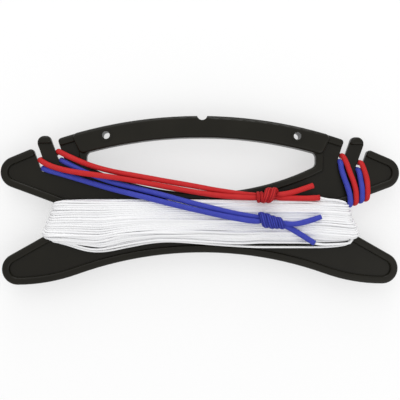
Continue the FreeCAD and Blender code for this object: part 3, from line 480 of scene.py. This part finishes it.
# how they settle
windSettle = {
    "rounds": 260,
    "push": 0.42,             # share of an overlap that is taken out in one round
    "taut": 0.16,
    "press": 0.000035,        # how far one round draws the lines on to the plate
    "pressFades": 0.8,        # the share of it that fades out
    "calmRounds": 200,        # and over how many rounds
    "lowPull": 1.4,           # higher keeps the pull to the lowest and the highest turns
    "endCrowd": 1.12,         # higher crowds the turns towards the bottom of the ends
    "evenRounds": 4,
    "evenShare": 0.25,
    "evenFrom": 0.06,         # on the faces only the parts outside this x are evened out
    "climb": ((0, 1.0), (9, 1.0), (34, 0.0), (40, 0.0)),  # (station, share) of the red line's first turn
    "climbStand": 0.9,        # how far it stands off the turns it crosses, in line widths
}

# highest and lowest reach of the ordinary turns on the front, and the lowest on the back
frontTop = [(-0.077, 0.0001), (-0.07, 0.0004), (-0.06, 0.0005), (-0.02, 0.0004), (0.03, 0.0003),
            (0.055, 0.0006), (0.077, 0.0007)]
frontLow = [(-0.077, -0.0236), (-0.066, -0.0248), (-0.057, -0.0252), (-0.045, -0.0248), (-0.036, -0.0238),
            (-0.026, -0.0226), (-0.014, -0.0224), (0.0, -0.0232), (0.008, -0.0239), (0.018, -0.0247),
            (0.024, -0.0247), (0.03, -0.0241), (0.052, -0.0242), (0.058, -0.0247), (0.064, -0.0252),
            (0.077, -0.0247)]
backLow = [(-0.077, -0.0246), (-0.04, -0.0252), (0.0, -0.0241), (0.04, -0.0249), (0.077, -0.0246)]
# where the lowest and highest outer lines run at the ends, by the angle round the edge
endSpan = [(0.0, -0.0235, -0.0002), (22.5, -0.023, -0.0005), (45.0, -0.0217, -0.0011),
           (67.5, -0.0201, -0.0023), (90.0, -0.0187, -0.0036)]
# the few loose turns below the others, (line, turn): the height along the front; red is line 0
looseTurns = {
    (1, 0): [(-0.079, -0.0233), (-0.074, -0.0241), (-0.0705, -0.0254), (-0.066, -0.0269), (-0.062, -0.0279),
             (-0.055, -0.0281), (-0.049, -0.0273), (-0.042, -0.0257), (-0.037, -0.0248), (-0.0295, -0.0233),
             (-0.024, -0.0227), (-0.017, -0.0224), (-0.01, -0.0229), (0.0026, -0.0239), (0.0083, -0.0245),
             (0.022, -0.02535), (0.0285, -0.0258), (0.061, -0.02585), (0.07, -0.0258), (0.077, -0.025)],
    (0, 0): [(-0.079, -0.0222), (-0.074, -0.023), (-0.069, -0.0248), (-0.062, -0.0268), (-0.055, -0.02695),
             (-0.047, -0.02545), (-0.040, -0.02395), (-0.033, -0.0227), (-0.025, -0.0217), (-0.01, -0.0218),
             (0.01, -0.0232), (0.022, -0.0238), (0.03, -0.0231), (0.06, -0.0232), (0.066, -0.0245),
             (0.077, -0.0239)],
}


def turnWay():
    # the stations that a turn passes: round the right end, along the back, round the left end and
    # along the front; hand is 1 at the right end and on the front, level 1 at the front edge of an end
    fan, fanBack = hankMake["fan"], hankMake["fan"][::-1]
    face = np.linspace(-hankMake["faceReach"], hankMake["faceReach"], hankMake["faceStations"])
    rows = [(1, 1, angle, 1) for angle in fan] + [(1, 1, angle, -1) for angle in fanBack]
    rows += [(0, -1, x, 0) for x in face[::-1]]
    rows += [(1, -1, angle, -1) for angle in fan] + [(1, -1, angle, 1) for angle in fanBack]
    rows += [(0, 1, x, 0) for x in face]
    isEnd, hand, spot, level = np.array(rows, dtype=float).T
    isEnd = isEnd > 0
    faceX = np.where(isEnd, 0.0, spot)
    low = np.where(hand > 0, profile(frontLow, faceX), profile(backLow, faceX))
    return {"count": len(rows), "isEnd": isEnd, "hand": hand, "level": level, "faceX": faceX,
            "angle": np.radians(np.where(isEnd, spot, 0.0)), "onFront": ~isEnd & (hand > 0),
            "low": np.where(isEnd, hankMake["endLow"], low),
            "top": np.where(hand > 0, profile(frontTop, faceX), hankMake["backTop"])}


def linePlace(way, y, h):
    # x and z of a line at each station, h being how far it stands off the plate
    plate, edgeRound = hankMake["plate"], hankMake["edgeRound"]
    (highX, highY), (lowX, lowY) = hankMake["notchHigh"], hankMake["notchLow"]
    lean = (lowX - highX) / (highY - lowY)
    edge = highX + (highY - np.clip(y, lowY, highY)) * lean
    reach = edgeRound + h
    endX = way["hand"] * (edge - edgeRound + reach * np.sin(way["angle"]))
    endZ = way["level"] * (plate - edgeRound + reach * np.cos(way["angle"]))
    return np.where(way["isEnd"], endX, way["faceX"]), np.where(way["isEnd"], endZ, way["hand"] * (plate + h))


def clearOfNotch(z):
    # 0 beside the plate's edge, 1 where the line lies outside its faces
    return np.clip((np.abs(z) - hankMake["plate"]) / (hankMake["clearOf"] * hankMake["width"]), 0, 1)


def startTurns(way):
    # both lines side by side in layers, each turn drifting towards the next one as it goes round
    width, perLayer, start = hankMake["width"], hankMake["perLayer"], windStart
    turns, lines = hankMake["turns"] + 1, len(lineEnds)
    rng = np.random.default_rng(start["seed"])
    layer, slot = np.divmod(np.arange(turns), perLayer)
    share = np.where(layer % 2 == 0, slot, perLayer - 1 - slot) / (perLayer - 1)
    drift = np.arange(way["count"]) / way["count"]
    level = share[:, None] * (1 - drift) + np.r_[share[1:], share[-1]][:, None] * drift
    pitch = 1 / (2 * perLayer)
    level = np.stack([level * (1 - 2 * pitch) + pitch * (0.5 + (1 - line)) for line in range(lines)])
    rough = rng.normal(0, 1, (lines, turns * way["count"]))
    rough = np.array([settled(row, start["wanderFade"]) for row in rough])
    rough = (rough / rough.std()).reshape(lines, turns, way["count"])
    low = np.where(way["isEnd"], start["ends"][0], way["low"])
    top = np.where(way["isEnd"], start["ends"][1], way["top"])
    y = low + width / 2 + (top - low - width) * level
    y = y + rough * np.where(layer < 2, *start["wander"])[None, :, None]
    depth = (turns - 1) // perLayer - layer
    h = np.zeros_like(y) + ((width / 2 + depth * start["rise"] * width)[None, :, None]
                            * np.where(way["isEnd"], start["endRise"], 1.0)[None, None, :])
    return y, h + rng.normal(0, start["bumps"], h.shape)


def pushApart(y, h):
    # lines that overlap at the same station move away from each other
    lines, turns, count = y.shape
    flatY = y.transpose(2, 0, 1).reshape(count, -1)
    flatH = h.transpose(2, 0, 1).reshape(count, -1)
    dy = flatY[:, :, None] - flatY[:, None, :]
    dh = flatH[:, :, None] - flatH[:, None, :]
    away = np.sqrt(dy * dy + dh * dh) + 1e-9
    push = np.clip(hankMake["width"] - away, 0, None) / away * windSettle["push"]
    np.einsum("ijj->ij", push)[:] = 0
    flatY = flatY + (push * dy).sum(2)
    flatH = flatH + (push * dh).sum(2)
    return [flat.reshape(count, lines, turns).transpose(1, 2, 0) for flat in (flatY, flatH)]


def eased(values, share):
    # draws each point of the lines towards the middle of its neighbours
    chain = np.ascontiguousarray(values).reshape(len(values), -1)
    chain[:, 1:-1] += share * (chain[:, :-2] + chain[:, 2:] - 2 * chain[:, 1:-1])
    return chain.reshape(values.shape)


def settleTurns(way, y, h):
    # push, tautness and the plate in turn, until the lines lie on each other
    width, settle = hankMake["width"], windSettle
    (highX, highY), (lowX, lowY) = hankMake["notchHigh"], hankMake["notchLow"]
    wing, leg = [math.tan(math.radians(hankMake[slope])) for slope in ("wingSlope", "legSlope")]
    low, top = way["low"] + width / 2, way["top"] - width / 2
    for settleRound in range(settle["rounds"]):
        calm = min(1.0, settleRound / settle["calmRounds"])
        y, h = [eased(values, settle["taut"]) for values in pushApart(y, h)]
        h = np.maximum(h - settle["press"] * (1 - settle["pressFades"] * calm), width / 2)
        # the edges of the notch hold the lines at the ends, but less and less outside the plate
        x, z = linePlace(way, y, h)
        over = clearOfNotch(z)
        over = over * over * (3 - 2 * over)
        edgeTop = highY + (np.abs(x) - highX) * wing - hankMake["wingRoom"] * width
        edgeLow = lowY - (np.abs(x) - lowX) * leg + hankMake["legRoom"] * width
        least = np.where(way["isEnd"], edgeLow * (1 - over) + low * over, low)
        most = np.where(way["isEnd"], edgeTop * (1 - over) + top * over, top)
        y = np.clip(y, np.minimum(least, most), most)
        for (line, turn), heights in looseTurns.items():
            y[line, turn, way["onFront"]] = profile(heights, way["faceX"][way["onFront"]])
    return y, h


def pullFront(way, y):
    # the ordinary turns are pulled down to the loose ones, the lowest of them most
    ordinary = np.ones(y.shape[:2], dtype=bool)
    ordinary[:, -1] = False
    for line, turn in looseTurns:
        ordinary[line, turn] = False
    for i in np.flatnonzero(way["onFront"]):
        row = y[:, :, i][ordinary]
        low = profile(looseTurns[(0, 0)], way["faceX"][i]) + hankMake["looseGap"] * hankMake["width"]
        top = way["top"][i] - hankMake["width"] / 2
        share = np.clip((row.max() - row) / (row.max() - row.min()), 0, 1)
        y[:, :, i][ordinary] = (row + (low - row.min()) * share ** windSettle["lowPull"]
                                + (top - row.max()) * (1 - share) ** windSettle["lowPull"])


def spreadEnds(way, y, over):
    # outside the plate the lines at the ends spread past the corners of the notch
    angles, lowest, highest = np.array(endSpan).T
    for i in np.flatnonzero(way["isEnd"]):
        row = y[:, :, i]
        low, top = [np.interp(way["angle"][i], np.radians(angles), heights) for heights in (lowest, highest)]
        low -= hankMake["rightFall"] if way["hand"][i] > 0 else 0.0
        share = ((row - row.min()) / (row.max() - row.min())) ** windSettle["endCrowd"]
        y[:, :, i] = row + over[:, :, i] * (low + share * (top - low) - row)


def evenTurns(way, y, over):
    # evened out again, but for those held by the notch
    free = np.where(way["isEnd"], over, np.abs(way["faceX"]) > windSettle["evenFrom"])
    for line, turn in looseTurns:
        free[line, turn, way["onFront"]] = 0.0
    share = free.reshape(len(y), -1)[:, 1:-1] * windSettle["evenShare"]
    for _ in range(windSettle["evenRounds"]):
        y = eased(y, share)
    return y


def windHank():
    # the points of both lines from their outer to their inner ends
    way = turnWay()
    y, h = settleTurns(way, *startTurns(way))
    pullFront(way, y)
    over = clearOfNotch(linePlace(way, y, h)[1])
    spreadEnds(way, y, over)
    y = evenTurns(way, y, over)
    # the first turn of the red line crosses the back from the top edge, over the others
    climb = np.interp(np.arange(way["count"]), *np.array(windSettle["climb"]).T)
    y[0, 0] += climb * (y[:, 1:].max(axis=(0, 1)) - y[0, 0])
    h[0, 0] += np.where(way["isEnd"] | way["onFront"], 0.0, windSettle["climbStand"] * hankMake["width"])
    x, z = linePlace(way, y, h)
    print(f"lines settled, {h.max() * 1000:.2f} mm deep at most")
    return np.stack([x, y, z], axis=-1).reshape(len(y), -1, 3), way["count"]


def makeLines():
    chains, count = windHank()
    made = {}
    for (name, ends), chain in zip(lineEnds.items(), chains):
        # the innermost turn stops short on the back, where the line comes out
        last = len(chain) - count + hankMake["lastStations"]
        points = [tuple(point) for point in chain[:last]]
        if name == "blue":
            # lies on the red line's own way round the right end, and joins its turn past that
            lead = chains[0][count - 2:count + 2] + (0.0, 0.0, hankMake["leadLift"])
            points = [tuple(point) for point in lead] + points[hankMake["leadStations"]:]
        line = splinePoints("route", ends["start"] + points + ends["finish"], hankMake["steps"])
        radii = np.full(len(line), hankMake["width"] / 2 * hankMake["plump"])
        piece = sweepTube(name + "_flying_line", line, radii, hankMake["sides"])
        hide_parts(*ends["nodes"])
        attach(piece, winderBody)
        made[name] = piece
    return made


flyingLines = makeLines()


def newMaterial(name):
    material = bpy.data.materials.new(name)
    material.use_nodes = True
    tree = material.node_tree
    shader = next(node for node in tree.nodes if node.type == "BSDF_PRINCIPLED")
    return material, tree, shader


def feed(tree, socket, value):
    # a socket takes another node's output, or a plain value
    if hasattr(value, "links"):
        tree.links.new(value, socket)
    else:
        socket.default_value = value


def mathNode(tree, operation, first, second=0.0):
    node = tree.nodes.new("ShaderNodeMath")
    node.operation = operation
    for socket, value in zip(node.inputs, (first, second)):
        feed(tree, socket, value)
    return node.outputs[0]


def mixColours(tree, share, first, second):
    node = tree.nodes.new("ShaderNodeMix")
    node.data_type = "RGBA"
    for socket, value in zip((node.inputs[0], node.inputs[6], node.inputs[7]), (share, first, second)):
        feed(tree, socket, value)
    return node.outputs[2]


def wrapPlace(tree):
    # the tube's own map: share of the way round, and metres along
    wrap = tree.nodes.new("ShaderNodeUVMap")
    wrap.uv_map = "wrap"
    parts = tree.nodes.new("ShaderNodeSeparateXYZ")
    tree.links.new(wrap.outputs[0], parts.inputs[0])
    return parts.outputs[0], parts.outputs[1]


def newGroup(name, inputs, outputs):
    group = bpy.data.node_groups.new(name, "ShaderNodeTree")
    for names, direction in ((inputs, "INPUT"), (outputs, "OUTPUT")):
        for socket in names:
            group.interface.new_socket(name=socket, in_out=direction, socket_type="NodeSocketFloat")
    return group, group.nodes.new("NodeGroupInput").outputs, group.nodes.new("NodeGroupOutput").inputs


# how a yarn of the braid bulges: the roundness of its back, and its height where it dives under; and how
# tightly the painted shade gathers in the gaps between yarns
braidShape = {"roundness": 0.6, "underHeight": 0.55, "gapShadeFall": 2.0}


def braidGroup():
    # crossing yarns of a round braid: their height, and a mask of painted shade in the gaps between them
    group, given, made = newGroup("roundBraid", ("Yarns", "Lay"), ("Height", "GapShade"))
    around, along = wrapPlace(group)
    around = mathNode(group, "MULTIPLY", around, given["Yarns"])
    along = mathNode(group, "MULTIPLY", along, given["Lay"])
    ways = [mathNode(group, operation, along, around) for operation in ("ADD", "SUBTRACT")]
    waves = []
    for way in ways:
        share = mathNode(group, "FRACT", way)
        waves.append(mathNode(group, "SINE", mathNode(group, "MULTIPLY", share, math.pi)))
    # in every second field the other yarn lies on top
    steps = mathNode(group, "ADD", *[mathNode(group, "FLOOR", way) for way in ways])
    over = mathNode(group, "GREATER_THAN", mathNode(group, "FRACT", mathNode(group, "MULTIPLY", steps, 0.5)),
                    0.25)
    under = mathNode(group, "SUBTRACT", 1.0, over)
    topWave, lowWave = [mathNode(group, "ADD", mathNode(group, "MULTIPLY", one, over),
                                 mathNode(group, "MULTIPLY", other, under))
                        for one, other in (waves, waves[::-1])]
    low = braidShape["underHeight"]
    height = mathNode(group, "MULTIPLY", mathNode(group, "POWER", topWave, braidShape["roundness"]),
                      mathNode(group, "ADD", mathNode(group, "MULTIPLY", lowWave, 1 - low), low))
    # painted shade in the gaps between the yarns, deepest where the height is lowest
    gap = mathNode(group, "POWER", mathNode(group, "SUBTRACT", 1.0, height), braidShape["gapShadeFall"])
    group.links.new(height, made["Height"])
    group.links.new(gap, made["GapShade"])
    return group


def grainGroup():
    # fine moulded grain over a broader unevenness, in the piece's own space
    group, given, made = newGroup("mouldGrain", ("Fine", "Broad"), ("Height", "Patches"))
    place = group.nodes.new("ShaderNodeTexCoord")
    for scale, target in (("Fine", "Height"), ("Broad", "Patches")):
        noise = group.nodes.new("ShaderNodeTexNoise")
        noise.inputs["Detail"].default_value = 4.0
        group.links.new(place.outputs["Object"], noise.inputs["Vector"])
        group.links.new(given[scale], noise.inputs["Scale"])
        group.links.new(noise.outputs[0], made[target])
    return group


roundBraid, mouldGrain = braidGroup(), grainGroup()


def useGroup(tree, group, **values):
    node = tree.nodes.new("ShaderNodeGroup")
    node.node_tree = group
    for name, value in values.items():
        node.inputs[name].default_value = value
    return node.outputs


def bumpInto(tree, shader, height, strength, distance):
    bump = tree.nodes.new("ShaderNodeBump")
    bump.inputs["Strength"].default_value = strength
    bump.inputs["Distance"].default_value = distance
    tree.links.new(height, bump.inputs["Height"])
    tree.links.new(bump.outputs[0], shader.inputs["Normal"])


plasticLook = {"dark": (0.0058, 0.0050, 0.0026, 1), "pale": (0.0118, 0.0102, 0.0056, 1), "shine": 0.22,
               "roughness": 0.24, "unevenGloss": 0.2, "fine": 5200.0, "broad": 55.0, "relief": 0.25,
               "depth": 0.00008}


def plasticMaterial():
    look = plasticLook
    material, tree, shader = newMaterial("blackMouldedPlastic")
    grain = useGroup(tree, mouldGrain, Fine=look["fine"], Broad=look["broad"])
    feed(tree, shader.inputs["Base Color"], mixColours(tree, grain["Patches"], look["dark"], look["pale"]))
    uneven = mathNode(tree, "MULTIPLY", grain["Patches"], look["unevenGloss"])
    feed(tree, shader.inputs["Roughness"], mathNode(tree, "ADD", uneven, look["roughness"]))
    shader.inputs["Specular IOR Level"].default_value = look["shine"]
    bumpInto(tree, shader, grain["Height"], look["relief"], look["depth"])
    return material


# yarn and pale are each braid's own tones, mixed at random; gap is a darker colour painted in as shade
# between the yarns and in the knots' creases
braidLooks = {
    "red_sleeve": {"relief": 0.6, "yarn": (0.57, 0.014, 0.018, 1), "pale": (0.70, 0.036, 0.034, 1),
                   "gap": (0.24, 0.004, 0.007, 1), "yarns": 8.0, "lay": 900.0, "shine": 0.2},
    "blue_sleeve": {"relief": 0.6, "yarn": (0.042, 0.055, 0.42, 1), "pale": (0.075, 0.095, 0.56, 1),
                    "gap": (0.010, 0.012, 0.15, 1), "yarns": 8.0, "lay": 900.0, "shine": 0.2},
    "flying_line": {"relief": 0.2, "yarn": (0.95, 0.95, 0.965, 1), "pale": (0.97, 0.97, 0.97, 1),
                    "gap": (0.9, 0.9, 0.92, 1), "yarns": 4.0, "lay": 1100.0, "shine": 0.1},
}
# and what all braids share; creases are the lengthwise folds where a sleeve is squeezed in a knot, bumped in
# and darkened with painted shade
braidSurface = {"roughness": 0.62, "depth": 0.00012, "fine": 7000.0, "broad": 240.0, "creases": 7,
                "creaseShade": 0.45, "creaseDepth": 1.6}


def braidMaterial(name):
    look, surface = braidLooks[name], braidSurface
    material, tree, shader = newMaterial(name + "_braid")
    braid = useGroup(tree, roundBraid, Yarns=look["yarns"], Lay=look["lay"])
    grain = useGroup(tree, mouldGrain, Fine=surface["fine"], Broad=surface["broad"])
    base = mixColours(tree, grain["Patches"], look["yarn"], look["pale"])
    tied = tree.nodes.new("ShaderNodeAttribute")
    tied.attribute_name = "creased"
    around = wrapPlace(tree)[0]
    # lengthwise creases where the sleeve is tied, used both for the bump and for painted shade in the colour
    wave = mathNode(tree, "SINE", mathNode(tree, "MULTIPLY", around, 2 * math.pi * surface["creases"]))
    fold = mathNode(tree, "MULTIPLY", mathNode(tree, "SUBTRACT", 1.0, wave), tied.outputs["Fac"])
    # painted shade: the colour darkens towards gap between the yarns and in the knot's creases
    paintedShade = mathNode(tree, "MAXIMUM", braid["GapShade"], mathNode(tree, "MULTIPLY", fold, surface["creaseShade"]))
    feed(tree, shader.inputs["Base Color"], mixColours(tree, paintedShade, base, look["gap"]))
    shader.inputs["Roughness"].default_value = surface["roughness"]
    shader.inputs["Specular IOR Level"].default_value = look["shine"]
    height = mathNode(tree, "SUBTRACT", braid["Height"],
                      mathNode(tree, "MULTIPLY", fold, surface["creaseDepth"]))
    bumpInto(tree, shader, height, look["relief"], surface["depth"])
    return material


def dressPieces():
    plastic = plasticMaterial()
    braids = {name: braidMaterial(name) for name in braidLooks}
    for name, piece in sleeves.items():
        piece.data.materials.append(braids[sleeveRoutes[name]["slot"]])
    for piece in flyingLines.values():
        piece.data.materials.append(braids["flying_line"])
    for name, node in frame["nodes"].items():
        braid = braids["red_sleeve" if "red" in name else "blue_sleeve" if "blue" in name else "flying_line"]
        node.data.materials.clear()
        node.data.materials.append(plastic if name == "winder_frame" else braid)


dressPieces()
print("materials assigned")


studio = {"floorSize": 3.0, "floorGap": 0.0003, "floorTone": (0.45, 0.45, 0.45, 1), "floorGlow": 0.55,
          "floorRoughness": 0.9, "sky": 0.77,
          # name, place, size and power
          "lamps": [("keyLamp", (-0.25, 0.75, 0.85), 0.7, 1.7), ("fillLamp", (0.55, -0.55, 0.9), 0.8, 2.0),
                    ("edgeLamp", (0.0, 1.0, 0.24), 0.5, 2.4)]}


def makeFloor():
    for thing in bpy.context.selected_objects:
        thing.select_set(False)
    low = cadBox[0][2] - studio["floorGap"]
    bpy.ops.mesh.primitive_plane_add(size=studio["floorSize"], location=(0, 0, low))
    floor = bpy.context.active_object
    floor.name = "paleFloor"
    material, tree, shader = newMaterial("paleFloor")
    shader.inputs["Base Color"].default_value = studio["floorTone"]
    shader.inputs["Roughness"].default_value = studio["floorRoughness"]
    shader.inputs["Specular IOR Level"].default_value = 0.0
    shader.inputs["Emission Color"].default_value = (1, 1, 1, 1)
    # seen white, straight on and in gloss, without lighting the winder more
    ray = tree.nodes.new("ShaderNodeLightPath").outputs
    shown = mathNode(tree, "MAXIMUM", ray["Is Camera Ray"],
                     mathNode(tree, "MAXIMUM", ray["Is Glossy Ray"], ray["Is Transmission Ray"]))
    glow = mathNode(tree, "MULTIPLY", shown, studio["floorGlow"])
    feed(tree, shader.inputs["Emission Strength"], glow)
    floor.data.materials.append(material)


def setLights():
    world = bpy.data.worlds.new("softSky")
    world.use_nodes = True
    sky = world.node_tree.nodes["Background"]
    sky.inputs["Color"].default_value = (1, 1, 1, 1)
    sky.inputs["Strength"].default_value = studio["sky"]
    bpy.context.scene.world = world
    for name, place, size, power in studio["lamps"]:
        lamp = bpy.data.lights.new(name, "AREA")
        lamp.size = size
        lamp.energy = power
        thing = bpy.data.objects.new(name, lamp)
        thing.location = place
        thing.rotation_euler = (-Vector(place)).to_track_quat("-Z", "Y").to_euler()
        bpy.context.scene.collection.objects.link(thing)
    bpy.context.scene.view_settings.view_transform = "Standard"


makeFloor()
setLights()
print("studio set")
